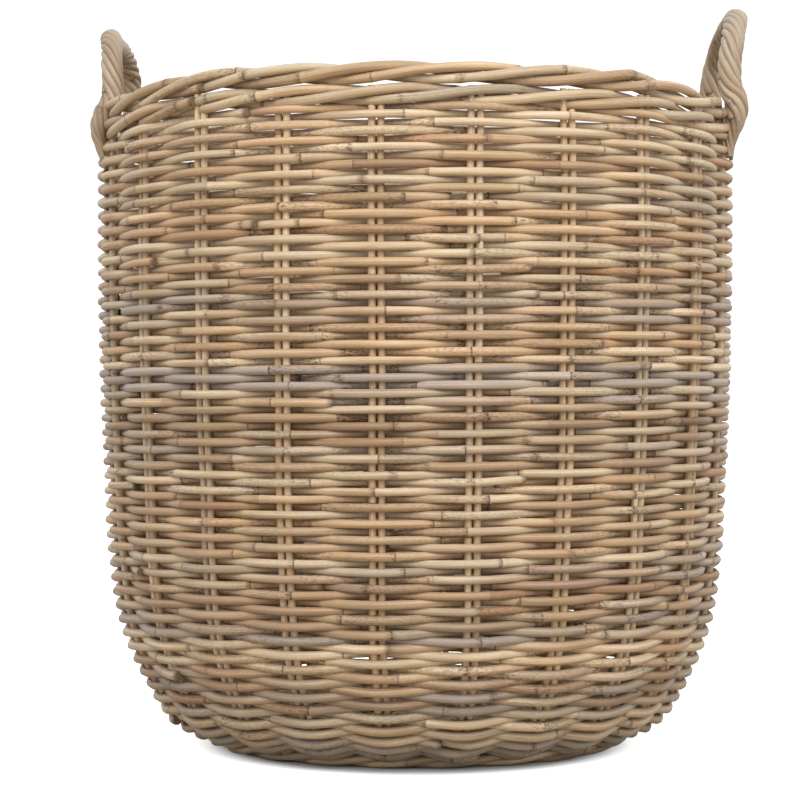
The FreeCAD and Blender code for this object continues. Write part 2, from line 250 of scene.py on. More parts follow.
def weavingTree():
    # two long weavers that climb the wall side by side, two rows to a turn, each before one
    # stake pair and behind the next; both are many canes joined end to end
    net = Net("woven rows", "GeometryNodeTree")
    wall = net.input("Wall", "Object")
    wallLength = net.input("Wall length", "Float")
    firstTurn = net.input("First turn", "Float")
    lastTurn = net.input("Last turn", "Float")
    firstCane = net.input("First cane", "Int")
    canes = net.input("Canes", "Int")
    points = net.input("Points", "Int")
    pitch = net.input("Row pitch", "Float")
    inset = net.input("Inset", "Float")
    pairs = net.input("Pairs", "Int")
    pairTurn = net.input("Pair turn", "Float")
    weave = net.input("Weave depth", "Float")
    thick = net.input("Cane radius", "Float")
    vary = net.input("Radius spread", "Float")
    caneTurns = net.input("Cane turns", "Float")
    overlap = net.input("Overlap turns", "Float")
    wander = net.input("Wander", "Float")
    turnLength = net.input("Turn length", "Float")
    sideDip = net.input("Side dip", "Float")
    dipReach = net.input("Dip reach", "Float")
    lowReach = net.input("Low reach", "Float")
    lowShare = net.input("Low share", "Float")
    lowThicker = net.input("Low thicker", "Float")
    cornerDrop = net.input("Corner drop", "Float")
    seed = net.input("Seed", "Int")

    mesh, local, step = caneGrid(net, canes, points)
    cane = local + firstCane * 2
    side = net.math("FLOORED_MODULO", cane, 2)
    number = net.math("FLOOR", (cane + 0.5) / 2)

    def startOf(which, ident):
        return (which + net.random(0.0, 0.55, ident, seed) + side * 0.37) * caneTurns

    start = startOf(number, cane)
    end = startOf(number + 1, cane + 2) + overlap
    low = net.math("MAXIMUM", start, firstTurn)
    high = net.math("MINIMUM", end, lastTurn)
    alive = net.math("GREATER_THAN", high - low, 0.002)
    turn = low + (high - low) * step
    angle = turn * fullTurn

    # where the two rows lie round the stakes, a little gentler where they cross than a plain wave
    phase = (turn - pairTurn) * pairs
    swing = net.math("COSINE", phase * math.pi) * (1 - side * 2)
    swing = swing * (0.84 + swing * swing * 0.16)
    around = net.vector(net.math("COSINE", angle), net.math("SINE", angle), turn * 0.09)
    drift = (net.noise(net.summed(around, net.vector(seed, 0, 0)), 2.6, 3.0) - 0.5) * 2 * wander
    close = net.vector(net.math("COSINE", angle) * 3, net.math("SINE", angle) * 3, cane * 1.7)
    jitter = (net.noise(close, 2.1, 2.0) - 0.5) * 0.7 * wander
    caneShift = net.random(-0.35, 0.35, cane, seed + 3) * wander
    depthNoise = (net.noise(net.summed(close, (5.0, 3.0, 1.0)), 3.0, 2.0) - 0.5) * 0.0022

    # at a splice the old end lies outside and the new one comes out from behind it
    splice = spliceShape
    toStart = (turn - start) * turnLength
    toFinish = (end - turn) * turnLength
    lifted = net.ramp(toFinish, 0.0, splice["liftLength"], 1.0, 0.0)
    tucked = net.ramp(toStart, splice["tuckFrom"], splice["tuckTo"], 1.0, 0.0)
    spliceShift = (tucked - lifted) * net.random(-splice["shift"], splice["shift"], cane, seed + 4)

    # the rim sags at the sides, and the lowest rows are shallower, thicker and nearer the foot
    climbed = turn * (pitch * 2)
    nearTop = net.math("MAXIMUM", climbed - wallLength + dipReach, 0.0) / dipReach
    sag = sideSag(net, angle) * nearTop ** 1.5 * sideDip
    nearFloor = 1 - net.ramp(climbed, lowReach * 0.45, lowReach)
    inCorner = 1 - net.ramp(climbed, 0.0, lowReach * 0.4)
    depth = weave * (1 - nearFloor * lowShare * (1 - inCorner * 1.6))
    offset = swing * depth + depthNoise + lifted * splice["lift"] - tucked * splice["tuck"]

    along = climbed + side * pitch + drift + jitter + caneShift + spliceShift - sag
    length = net.math("MINIMUM", net.math("MAXIMUM", along, 0.0), wallLength)
    spot, tangent = net.follow(wall, "LENGTH", length)[:2]
    out = offset - inset + inCorner * cornerDrop
    past = along - length
    reach = net.part(spot, "X") + net.part(tangent, "Z") * out + net.part(tangent, "X") * past
    height = net.part(spot, "Z") - net.part(tangent, "X") * out + net.part(tangent, "Z") * past
    place = net.vector(reach * net.math("COSINE", angle), reach * net.math("SINE", angle), height)

    radius = thick * (1 + net.random(-1.0, 1.0, cane, seed + 5) * vary) * (1 + nearFloor * lowThicker)
    toEnd = net.math("MINIMUM", toStart, toFinish)
    tubes = caneTubes(net, mesh, cane, points, seed, place, radius, turn * turnLength, toEnd, swing, alive)
    return finishTree(net, tubes)


def ringTree():
    # strands laid over one another right round the basket, as in a wale or a rolled border
    net = Net("laid ring", "GeometryNodeTree")
    strands = net.input("Strands", "Int")
    turns = net.input("Strand turns", "Float")
    points = net.input("Points", "Int")
    ringRadius = net.input("Ring radius", "Float")
    height = net.input("Height", "Float")
    throw = net.input("Throw", "Float")
    lift = net.input("Lift", "Float")
    square = net.input("Squareness", "Float")
    phase = net.input("Phase", "Float")
    thick = net.input("Cane radius", "Float")
    vary = net.input("Radius spread", "Float")
    caneShare = net.input("Canes per strand", "Int")
    wander = net.input("Wander", "Float")
    sideDip = net.input("Side dip", "Float")
    seed = net.input("Seed", "Int")

    mesh, cane, step = caneGrid(net, strands * caneShare, points)
    strand = net.math("FLOOR", (cane + 0.5) / caneShare)
    number = cane - strand * caneShare

    def startOf(which, ident):
        inner = net.math("GREATER_THAN", which, 0.5) * net.math("LESS_THAN", which, caneShare - 0.5)
        return (which + net.random(-0.3, 0.3, ident, seed) * inner) / caneShare

    start = startOf(number, cane)
    last = net.math("LESS_THAN", number, caneShare - 1.5)
    end = startOf(number + 1, cane + 1) + last * 0.02
    turn = start + (end - start) * step
    angle = turn * fullTurn
    roll = (turn * turns + strand / strands) * fullTurn + phase
    about = net.vector(net.math("COSINE", angle), net.math("SINE", angle), strand * 0.8)
    uneven = (net.noise(net.summed(about, net.vector(seed, 0, 0)), 2.2, 2.0) - 0.5) * 2
    roll = roll + uneven * 0.5
    cosine = net.math("COSINE", roll)
    outward = net.math("SIGN", cosine) * net.math("ABSOLUTE", cosine) ** square
    drift = net.noise(net.summed(about, (3.0, 7.0, 0.0)), 1.7, 2.0) - 0.5
    turnLength = ringRadius * fullTurn
    toStart = (turn - start) * turnLength
    toFinish = (end - turn) * turnLength
    lifted = net.ramp(toFinish, 0.0, 0.05, 1.0, 0.0) * last
    tucked = net.ramp(toStart, 0.01, 0.06, 1.0, 0.0) * net.math("GREATER_THAN", number, 0.5)
    reach = ringRadius + outward * throw + drift * wander + lifted * 0.001 - tucked * 0.005
    rise = height + net.math("SINE", roll) * lift + uneven * wander * 0.6 - sideSag(net, angle) * sideDip
    place = net.vector(reach * net.math("COSINE", angle), reach * net.math("SINE", angle), rise)
    radius = thick * (1 + net.random(-1.0, 1.0, cane, seed + 5) * vary)
    # the very first and last ends lie hidden, so they count as far from any cut
    toEnd = net.math("MINIMUM", toStart + net.math("LESS_THAN", number, 0.5), toFinish + (1 - last))
    tubes = caneTubes(net, mesh, cane, points, seed, place, radius, turn * turnLength, toEnd, outward)
    return finishTree(net, tubes)


def ropeTree():
    # strands round a path: a twisted rope, a pair of stakes side by side, or one bare stick
    net = Net("canes along a path", "GeometryNodeTree")
    path = net.input("Path", "Object")
    paths = net.input("Paths", "Int")
    strands = net.input("Strands", "Int")
    points = net.input("Points", "Int")
    twists = net.input("Twists", "Float")
    phase = net.input("Phase", "Float")
    ropeRadius = net.input("Rope radius", "Float")
    thick = net.input("Cane radius", "Float")
    vary = net.input("Radius spread", "Float")
    taper = net.input("Taper", "Float")
    wander = net.input("Wander", "Float")
    pathLength = net.input("Path length", "Float")
    ragged = net.input("Ragged ends", "Float")
    tailShare = net.input("Tail share", "Float")
    seed = net.input("Seed", "Int")

    mesh, cane, step = caneGrid(net, strands, points)
    trimStart = net.random(0.0, 1.0, cane, seed + 1) * ragged
    trimEnd = net.random(0.0, 1.0, cane, seed + 2) * ragged
    step = trimStart + step * (1 - trimStart - trimEnd)
    spot, tangent, normal = net.follow(path, "FACTOR", step, net.math("FLOORED_MODULO", cane, paths))
    across = net.vectorMath("CROSS_PRODUCT", tangent, normal)
    roll = cane / strands * fullTurn + step * twists * fullTurn + phase
    roll = roll + (net.noise(net.vector(step * 4, cane * 2.3, seed), 1.0) - 0.5) * wander * 120
    edge = net.math("MINIMUM", step, 1 - step) * 2
    slim = 1 - taper * (1 - net.ramp(edge, 0.0, tailShare * 2))
    reach = ropeRadius * slim + (net.noise(net.vector(step * 7, cane, 9), 1.0) - 0.5) * wander
    sideways = net.scaled(normal, net.math("COSINE", roll) * reach)
    upward = net.scaled(across, net.math("SINE", roll) * reach)
    place = net.summed(spot, net.summed(sideways, upward))
    radius = thick * (1 + net.random(-1.0, 1.0, cane, seed + 5) * vary) * (slim * 0.6 + 0.4)
    along = step * pathLength
    toEnd = net.math("MINIMUM", along, pathLength - along)
    tubes = caneTubes(net, mesh, cane, points, seed, place, radius, along, toEnd, 0.0)
    return finishTree(net, tubes)


def asMesh(name, tree, inputs, material, nodes):
    # runs the tree on an empty mesh, keeps the result as a plain mesh and ties it to the frame
    holder = bpy.data.objects.new(name + "_maker", bpy.data.meshes.new(name + "_maker"))
    bpy.context.collection.objects.link(holder)
    maker = holder.modifiers.new("canes", "NODES")
    maker.node_group = tree
    sockets = {s.name: s.identifier for s in tree.interface.items_tree if s.in_out == "INPUT"}
    for key, value in {**inputs, "Material": material}.items():
        maker[sockets[key]] = value
    seen = holder.evaluated_get(bpy.context.evaluated_depsgraph_get())
    mesh = bpy.data.meshes.new_from_object(seen)
    bpy.data.objects.remove(holder)
    mesh.name = name
    piece = bpy.data.objects.new(name, mesh)
    bpy.context.collection.objects.link(piece)
    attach(piece, "root")
    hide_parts(*nodes)
    triangles = sum(len(p.vertices) - 2 for p in mesh.polygons)
    print(f"{name}: {triangles} triangles")
    return piece


# Finishes: one cane group, its own tints for each kind of cane.

# how weathered and how light the canes are at each height: (height, grey, light), 0.5 is plain
bundleTop = 0.6
bundles = [
    (0.000, 0.45, 0.20), (0.041, 0.45, 0.38), (0.056, 0.55, 0.36), (0.066, 0.10, 0.46),
    (0.086, 0.20, 0.56), (0.100, 0.75, 0.44), (0.116, 0.25, 0.48), (0.136, 0.45, 0.40),
    (0.152, 0.40, 0.54), (0.186, 0.12, 0.52), (0.204, 0.20, 0.56), (0.218, 0.46, 0.44),
    (0.232, 0.40, 0.42), (0.238, 0.10, 0.28), (0.252, 0.06, 0.30), (0.257, 0.44, 0.54),
    (0.270, 0.50, 0.58), (0.275, 0.96, 0.62), (0.283, 0.96, 0.60), (0.288, 0.22, 0.60),
    (0.316, 0.38, 0.54), (0.330, 0.85, 0.52),
    (0.342, 0.40, 0.46), (0.358, 0.12, 0.60), (0.381, 0.12, 0.58), (0.406, 0.35, 0.50),
    (0.436, 0.20, 0.56), (0.466, 0.25, 0.64), (0.556, 0.35, 0.60),
]


def fillRamp(ramp, stops):
    for number, (height, greyness, lightness) in enumerate(stops):
        spot = ramp.elements[number] if number < 2 else ramp.elements.new(height / bundleTop)
        spot.position = height / bundleTop
        spot.color = (greyness, lightness, 0.5, 1.0)


def caneSurface():
    net = Net("rattan cane", "ShaderNodeTree")
    pale = net.input("Pale", "Color")
    golden = net.input("Golden", "Color")
    russet = net.input("Russet", "Color")
    grey = net.input("Grey", "Color")
    stain = net.input("Stain", "Color")
    greyShare = net.input("Grey share", "Float")
    russetShare = net.input("Russet share", "Float")
    stainShare = net.input("Stain share", "Float")
    bundleShare = net.input("Bundle share", "Float")
    brightness = net.input("Brightness", "Float")

    def attribute(name, output="Fac"):
        return net.add("ShaderNodeAttribute", settings={"attribute_name": name}, output=output)

    def mix(factor, first, second, blend="MIX"):
        node = net.tree.nodes.new("ShaderNodeMix")
        node.data_type = "RGBA"
        node.blend_type = blend
        enabled = {s.name: s for s in node.inputs if s.enabled}
        net.put(enabled["Factor"], factor)
        net.put(enabled["A"], first)
        net.put(enabled["B"], second)
        return Wire(net, next(s for s in node.outputs if s.enabled))

    def chance(part, offset):
        where = net.vector(seed * 91.7 + offset, part, offset * 0.37)
        return net.add("ShaderNodeTexWhiteNoise", {"Vector": where}, {"noise_dimensions": "3D"})

    def alongNoise(lengthwise, around, scale, detail, roughness=0.5):
        spot = net.vectorMath("MULTIPLY", shift, (1.0, 1.0, lengthwise))
        return net.noise(net.summed(spot, net.scaled(side, around)), scale, detail, roughness)

    seed = attribute("caneSeed")
    knuckles = attribute("caneKnuckles")
    internode = attribute("caneInternode")
    depth = attribute("caneDepth")
    toEnd = attribute("caneEnd")
    side = attribute("caneSide", "Vector")
    place = net.add("ShaderNodeTexCoord", output="Object")
    section = net.math("FLOOR", knuckles)
    along = knuckles * internode
    shift = net.vector(seed * 47, seed * 31, along)

    fibres = alongNoise(11.0, 3.4, 1.7, 4.0, 0.7)       # fine lines down the length of the cane
    longFibres = alongNoise(4.0, 1.5, 1.3, 2.0)
    patches = alongNoise(20.0, 0.35, 1.0, 3.0)          # changes over a few centimetres
    specks = alongNoise(150.0, 1.3, 2.2, 4.0, 0.7)      # small blotches, mostly near the knuckles
    wobble = alongNoise(60.0, 1.6, 1.2, 1.0)

    fraction = net.math("FRACT", knuckles)
    gap = net.math("MINIMUM", fraction, 1 - fraction) * internode + (wobble - 0.5) * 0.0014
    above = net.math("LESS_THAN", fraction, 0.5)

    # the canes were woven in by the bundle: each height has its own greyness and lightness
    bundle = net.tree.nodes.new("ShaderNodeValToRGB")
    fillRamp(bundle.color_ramp, bundles)
    level = (net.part(place, "Z") + (seed - 0.5) * 0.004) / bundleTop
    net.put(bundle.inputs["Fac"], level)
    bundleGrey = net.part(Wire(net, bundle.outputs["Color"]), "X")
    bundleLight = net.part(Wire(net, bundle.outputs["Color"]), "Y")
    browner = net.math("MAXIMUM", 0.5 - bundleLight, 0.0) * bundleShare * (1 - bundleGrey)

    # tint of the whole cane, changed a little at each knuckle
    tone = chance(3.0, 1.0) * 0.55 + chance(section, 2.0) * 0.35 + (patches - 0.5) * 0.9 + 0.03
    colour = mix(net.ramp(tone, 0.2, 0.78), golden, pale)
    reddish = chance(5.0, 3.0) * 0.55 + chance(section, 4.0) * 0.4 + (patches - 0.5) * 0.6
    reddish = reddish + browner * 1.6
    colour = mix(net.ramp(reddish, 0.95 - russetShare, 1.25 - russetShare) * 0.8, colour, russet)

    # weathered grey comes in bundles of rows, in single canes and in soft zones
    zone = net.noise(net.vectorMath("MULTIPLY", place, (2.4, 2.4, 7.0)), 1.0, 2.0) - 0.5
    weathered = chance(7.0, 5.0) * 0.6 + chance(section, 6.0) * 0.2 + zone * 0.8 + (longFibres - 0.5) * 0.6
    weathered = weathered + (bundleGrey - 0.3) * bundleShare * 0.9
    colour = mix(net.ramp(weathered, 1.0 - greyShare, 1.4 - greyShare) * 0.92, colour, grey)

    # streaks, stains, painted shade behind the stakes, knuckle rings and cut ends
    streaks = (net.ramp(fibres, 0.3, 0.75) - 0.5) * 0.46 + (longFibres - 0.5) * 0.65
    light = streaks + (patches - 0.5) * 0.35 + 1
    colour = mix(net.ramp(longFibres, 0.57, 0.78) * 0.46, colour, stain)
    nearRing = net.math("EXPONENT", gap * -90)
    dipShade = net.ramp(depth, -0.9, 0.3, 0.35, 0.0)        # painted shade: more stain-coloured blotches where a cane dips behind the stakes, where shade falls
    # real stain blotches, mostly near the knuckles, plus painted shade where the cane dips behind the stakes
    blotchesAndDipShade = net.ramp(specks, 0.47, 0.63) * (nearRing * 0.60 + 0.32 + dipShade)
    dirty = net.ramp(chance(section, 8.0) + (patches - 0.5) * 1.0, 0.95 - stainShare, 1.2 - stainShare)
    colour = mix(net.math("MINIMUM", blotchesAndDipShade * (dirty * 0.95 + 0.22), 0.9), colour, stain)
    oneSide = net.math("GREATER_THAN", chance(net.math("ROUND", knuckles), 9.0) - above * 0.4, 0.45)
    collar = net.ramp(gap, 0.0012, 0.0050, 1.0, 0.0) * oneSide * net.ramp(specks, 0.35, 0.62, 0.1, 1.0)
    colour = mix(collar * 0.70, colour, stain)
    ring = net.ramp(gap, 0.0003, 0.0010, 1.0, 0.0)
    ringStrength = net.ramp(chance(net.math("ROUND", knuckles), 10.0), 0.15, 0.75) * 0.75 + 0.12
    ringStrength = ringStrength * net.ramp(wobble, 0.30, 0.62, 0.35, 1.0)
    colour = mix(ring * ringStrength, colour, ringBrown)
    cut = net.ramp(toEnd, 0.0006, 0.005, 1.0, 0.0)
    colour = mix(cut * 0.7, colour, cutBrown)

    # light and shade: darker behind the stakes, warmer on undersides, uneven from cane to cane
    hidden = net.ramp(depth, -1.0, 0.2, 0.92, 1.0)
    normal = net.add("ShaderNodeNewGeometry", output="Normal")
    under = net.ramp(net.part(normal, "Z"), -0.75, 0.45, 1.0, 0.0)
    bundled = (bundleLight - 0.5) * bundleShare * 1.15 + 1
    shade = brightness * hidden * bundled * light
    shade = shade * (chance(section, 11.0) * 0.26 + chance(13.0, 12.0) * 0.24 + 0.75)
    warmed = net.vector(shade, shade * (1 - under * 0.10), shade * (1 - under * 0.26))
    colour = mix(1.0, colour, warmed, "MULTIPLY")

    net.output("Color", "Color", colour)
    rough = fibres * 0.25 + net.ramp(weathered, 0.4, 1.0) * 0.15 + 0.32 + ring * 0.3
    net.output("Roughness", "Float", rough)
    ridge = net.ramp(gap, 0.0012, 0.0045, 0.6, 0.0)
    net.output("Height", "Float", fibres * 0.45 + specks * 0.2 - ring * ringStrength * 1.2 + ridge)
    return net.tree


ringBrown = (0.060, 0.032, 0.018, 1.0)
cutBrown = (0.060, 0.036, 0.022, 1.0)
caneGroup = caneSurface()


def fromHex(text):
    def linear(part):
        part = int(part, 16) / 255
        return part / 12.92 if part <= 0.04045 else ((part + 0.055) / 1.055) ** 2.4

    return (linear(text[0:2]), linear(text[2:4]), linear(text[4:6]), 1.0)


caneTints = {
    "weaveCane": {
        "Pale": "dfc9a8", "Golden": "c8a47c", "Russet": "b38056", "Grey": "b6a79a", "Stain": "5e3e28",
        "Grey share": 0.46, "Russet share": 0.34, "Stain share": 0.36,
        "Bundle share": 1.0, "Brightness": 0.68,
    },
    "stakeCane": {
        "Pale": "dec7a6", "Golden": "cfae88", "Russet": "bb9472", "Grey": "c2b3a0", "Stain": "80644a",
        "Grey share": 0.36, "Russet share": 0.22, "Stain share": 0.18,
        "Bundle share": 0.3, "Brightness": 0.88,
    },
    "borderCane": {
        "Pale": "dec8a6", "Golden": "cba982", "Russet": "b98b63", "Grey": "b5a793", "Stain": "634835",
        "Grey share": 0.46, "Russet share": 0.30, "Stain share": 0.30,
        "Bundle share": 0.3, "Brightness": 0.66,
    },
    "footCane": {
        "Pale": "d2b995", "Golden": "b89a76", "Russet": "a07a58", "Grey": "9d8f80", "Stain": "4a3322",
        "Grey share": 0.56, "Russet share": 0.26, "Stain share": 0.42,
        "Bundle share": 0.6, "Brightness": 0.98,
    },
    "baseCane": {
        "Pale": "d3ba93", "Golden": "bb996b", "Russet": "a5784f", "Grey": "a19587", "Stain": "523a27",
        "Grey share": 0.45, "Russet share": 0.30, "Stain share": 0.30,
        "Bundle share": 0.0, "Brightness": 0.78,
    },
    "handleCane": {
        "Pale": "dac5aa", "Golden": "caae90", "Russet": "be9c80", "Grey": "b9aa98", "Stain": "705443",
        "Grey share": 0.36, "Russet share": 0.30, "Stain share": 0.12,
        "Bundle share": 0.0, "Brightness": 0.53,
    },
}


caneGloss = {
    "Specular IOR Level": 0.45,
    "Sheen Weight": 0.05,
}
caneBump = {
    "Strength": 0.55,
    "Distance": 0.0006,
}


def makeCane(name, tints):
    material = bpy.data.materials.new(name)
    material.use_nodes = True
    tree = material.node_tree
    shader = tree.nodes["Principled BSDF"]
    group = tree.nodes.new("ShaderNodeGroup")
    group.node_tree = caneGroup
    for key, value in tints.items():
        group.inputs[key].default_value = fromHex(value) if isinstance(value, str) else value
    bump = tree.nodes.new("ShaderNodeBump")
    for key, value in caneBump.items():
        bump.inputs[key].default_value = value
    for key, value in caneGloss.items():
        shader.inputs[key].default_value = value
    tree.links.new(group.outputs["Color"], shader.inputs["Base Color"])
    tree.links.new(group.outputs["Roughness"], shader.inputs["Roughness"])
    tree.links.new(group.outputs["Height"], bump.inputs["Height"])
    tree.links.new(bump.outputs["Normal"], shader.inputs["Normal"])
    return material


canes = {name: makeCane(name, tints) for name, tints in caneTints.items()}
print("finishes ready")


# The lines that the canes follow.

def guide(name, lines):
    # a smooth curve through each line's knots, kept only until the pieces are made
    data = bpy.data.curves.new(name, "CURVE")
    data.dimensions = "3D"
    data.resolution_u = 24
    for points in lines:
        spline = data.splines.new("BEZIER")
        spline.bezier_points.add(len(points) - 1)
        for knot, point in zip(spline.bezier_points, points):
            knot.co = point
            knot.handle_left_type = knot.handle_right_type = "AUTO"
    thing = bpy.data.objects.new(name, data)
    bpy.context.collection.objects.link(thing)
    return thing


def guideLine(thing):
    mesh = bpy.data.meshes.new_from_object(thing.evaluated_get(bpy.context.evaluated_depsgraph_get()))
    points = [v.co.copy() for v in mesh.vertices]
    lengths = [0.0]
    for first, second in zip(points, points[1:]):
        lengths.append(lengths[-1] + (second - first).length)
    bpy.data.meshes.remove(mesh)
    return points, lengths


wallSizes = {
    "corner": 0.060,          # radius of the turn from the base into the side
    "cornerSteps": (0, 14, 28, 42, 55),
    "bands": 8,
    "baseGap": 0.0005,
}

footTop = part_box("foot_border")[1].z
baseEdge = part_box("base_weave")[1].x - wallSizes["baseGap"]
bandNames = ["lower_wale"] + [f"side_weave_{n + 1}" for n in range(wallSizes["bands"])]
bandBoxes = [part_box(name) for name in bandNames]
corner = [
    Vector((baseEdge + wallSizes["corner"] * math.sin(math.radians(a)), 0,
            footTop + wallSizes["corner"] * (1 - math.cos(math.radians(a)))))
    for a in wallSizes["cornerSteps"]
]
rises = [Vector((high.x, 0, high.z)) for low, high in bandBoxes[1:]]
rises.append(Vector((rises[-1].x, 0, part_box("upper_wale")[1].z)))
wall = guide("wall_line", [corner + rises])
wallPoints, wallLengths = guideLine(wall)


def wallLengthAt(height):
    for (low, high), (a, b) in zip(zip(wallPoints, wallPoints[1:]), zip(wallLengths, wallLengths[1:])):
        if low.z <= height <= high.z:
            return a + (b - a) * (height - low.z) / max(high.z - low.z, 1e-9)
    return wallLengths[-1] if height > wallPoints[-1].z else 0.0


# The woven side.

weave = {
    "Row pitch": 0.0056,
    "Inset": 0.0085,
    "Pairs": pairCount,
    "Pair turn": pairShift / 360,
    "Weave depth": 0.0052,
    "Cane radius": 0.00304,
    "Radius spread": 0.08,
    "Cane turns": 1.13,
    "Overlap turns": 0.014,
    "Wander": 0.0009,
    "Turn length": 1.5,
    "Side dip": 0.0075,
    "Dip reach": 0.12,
    "Low reach": 0.19,        # below this length of wall the weave is shallower and its canes thicker
    "Low share": 0.20,
    "Corner drop": 0.0034,    # the first rows sit this much closer to the foot ring
    "Low thicker": 0.13,
    "Seed": 17,
}
rowPoints = 400
weavingRows = weavingTree()


def weavePiece(name, sizes, line, lineLength, low, high, material, nodes):
    settings = dict(sizes)
    climb = 2 * settings["Row pitch"]
    first, last = low / climb, high / climb
    firstCane = math.floor(first / settings["Cane turns"]) - 2
    lastCane = math.ceil(last / settings["Cane turns"]) + 1
    settings.update({
        "Wall": line, "Wall length": lineLength, "First turn": first, "Last turn": last,
        "First cane": firstCane, "Canes": 2 * (lastCane - firstCane + 1), "Points": rowPoints,
    })
    return asMesh(name, weavingRows, settings, canes[material], nodes)


for name, (low, high) in zip(bandNames, bandBoxes):
    foot = name == "lower_wale"
    pieceName = "woven_foot" if foot else name.replace("side_weave", "woven_side")
    start, end = wallLengthAt(low.z), wallLengthAt(high.z)
    material = "footCane" if foot else "weaveCane"
    weavePiece(pieceName, weave, wall, wallLengths[-1], start, end, material, [name])
print("woven side done")


# Stake pairs.

stakes = {
    "Thick": 0.0027,
    "Apart": 0.0032,
    "Points": 120,
    "Seed": 5,
    "Cane seed": 40,
    "Spread": 0.06,
}


def stakeTree():
    net = Net("stake pair", "GeometryNodeTree")
    line = net.input("Wall", "Object")
    lineLength = net.input("Wall length", "Float")
    inset = net.input("Inset", "Float")
    turn = net.input("Turn", "Float")
    apart = net.input("Apart", "Float")
    thick = net.input("Thick", "Float")
    points = net.input("Points", "Int")
    seed = net.input("Seed", "Int")
    mesh, cane, step = caneGrid(net, 2, points)
    along = step * lineLength
    spot, tangent = net.follow(line, "FACTOR", step)[:2]
    lean = (net.noise(net.vector(step * 6, seed * 1.7, cane * 3.0), 1.0) - 0.5) * 0.0016
    sway = (net.noise(net.vector(step * 7, seed * 2.9, 4.0), 1.0) - 0.5) * 0.004
    sideways = (cane * 2 - 1) * apart + sway
    reach = net.part(spot, "X") - net.part(tangent, "Z") * (inset + lean)
    height = net.part(spot, "Z") + net.part(tangent, "X") * (inset + lean)
    angle = turn * fullTurn
    cosine = net.math("COSINE", angle)
    sine = net.math("SINE", angle)
    place = net.vector(reach * cosine - sideways * sine, reach * sine + sideways * cosine, height)
    ident = cane + seed * 2
    radius = thick * (1 + net.random(-stakes["Spread"], stakes["Spread"], ident, 3))
    tubes = caneTubes(net, mesh, ident, points, stakes["Cane seed"], place, radius, along, 1.0, 0.0)
    return finishTree(net, tubes)


stakeRods = stakeTree()
for number in range(pairCount):
    turn = (-90 + pairShift + (number - 0.5) * 360 / pairCount) / 360
    settings = {
        "Wall": wall, "Wall length": wallLengths[-1], "Inset": weave["Inset"], "Turn": turn,
        "Apart": stakes["Apart"], "Thick": stakes["Thick"], "Points": stakes["Points"],
        "Seed": stakes["Seed"] + number,
    }
    name = f"stake_pair_{number + 1:02d}"
    asMesh(f"stakes_{number + 1:02d}", stakeRods, settings, canes["stakeCane"], [name])
print("stakes done")


# Wale, border and foot ring.

laidRing = ringTree()

rings = {
    "upper_wale": {
        "Strands": 3, "Strand turns": pairCount / 3, "Points": 520, "Throw": 0.0056, "Lift": 0.0044,
        "Squareness": 0.6, "Phase": 0.4, "Cane radius": 0.0034, "Radius spread": 0.06, "Canes per strand": 2,
        "Wander": 0.0010, "Side dip": 0.0070, "Seed": 3,
    },
    "top_border": {
        "Strands": 3, "Strand turns": 8.0, "Points": 560, "Throw": 0.0050, "Lift": 0.0046,
        "Squareness": 0.9, "Phase": 0.0, "Cane radius": 0.0035, "Radius spread": 0.06, "Canes per strand": 2,
        "Wander": 0.0016, "Side dip": 0.0075, "Seed": 8,
    },
    "foot_border": {
        "Strands": 3, "Strand turns": pairCount / 3, "Points": 480, "Throw": 0.0046, "Lift": 0.0028,
        "Squareness": 0.8, "Phase": 1.0, "Cane radius": 0.0030, "Radius spread": 0.06, "Canes per strand": 2,
        "Wander": 0.0006, "Side dip": 0.0, "Seed": 21,
    },
}
ringPieces = {
    # node: (piece, cane, slot, half of the ring's width, how far its middle is raised)
    "upper_wale": ("wale_under_border", "borderCane", "border_cane", 0.0085, 0.0),
    "top_border": ("rolled_border", "borderCane", "border_cane", 0.0085, 0.0),
    "foot_border": ("foot_ring", "footCane", "foot_cane", 0.0075, 0.0020),
}
for node, (name, material, slot, half, raised) in ringPieces.items():
    low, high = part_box(node)
    place = {"Ring radius": high.x - half, "Height": (low.z + high.z) / 2 + raised}
    asMesh(name, laidRing, {**rings[node], **place}, canes[material], [node])
print("rings done")


# Base: two crossed layers of sticks, and the weave that holds them.

base = {
    "cross": 0.034,           # half width of the square where the sticks cross
    "spacing": 0.008,
    "thick": 0.00325,
    "bend": 0.28,             # share of a stick's way out at which it has come down into the weave
    "weaveFrom": 0.046,
    "edgeGap": 0.001,
    "rimGap": 0.004,
}
baseLow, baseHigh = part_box("base_weave")
baseMiddle = (baseLow.z + baseHigh.z) / 2
baseReach = baseHigh.x - base["edgeGap"]
pathCanes = ropeTree()


def fannedSticks(name, count, layer, turn):
    lines = []
    for number in range(count):
        place = number - (count - 1) / 2
        spread = place * base["spacing"]
        spoke = place * fullTurn / pairCount
        line = []
        for way in (-1, 1):
            tip = Vector((baseReach * math.cos(spoke) * way, baseReach * math.sin(spoke), baseMiddle))
            inner = Vector((base["cross"] * way, spread, baseMiddle + layer))
            bend = inner.lerp(tip, base["bend"])
            bend.z = baseMiddle
            stops = [tip, tip.lerp(bend, 0.5), bend, inner]
            line += stops if way < 0 else stops[::-1]
        spun = [Vector((p.x * math.cos(turn) - p.y * math.sin(turn),
                        p.x * math.sin(turn) + p.y * math.cos(turn), p.z)) for p in line]
        lines.append(spun)
    return guide(name, lines)


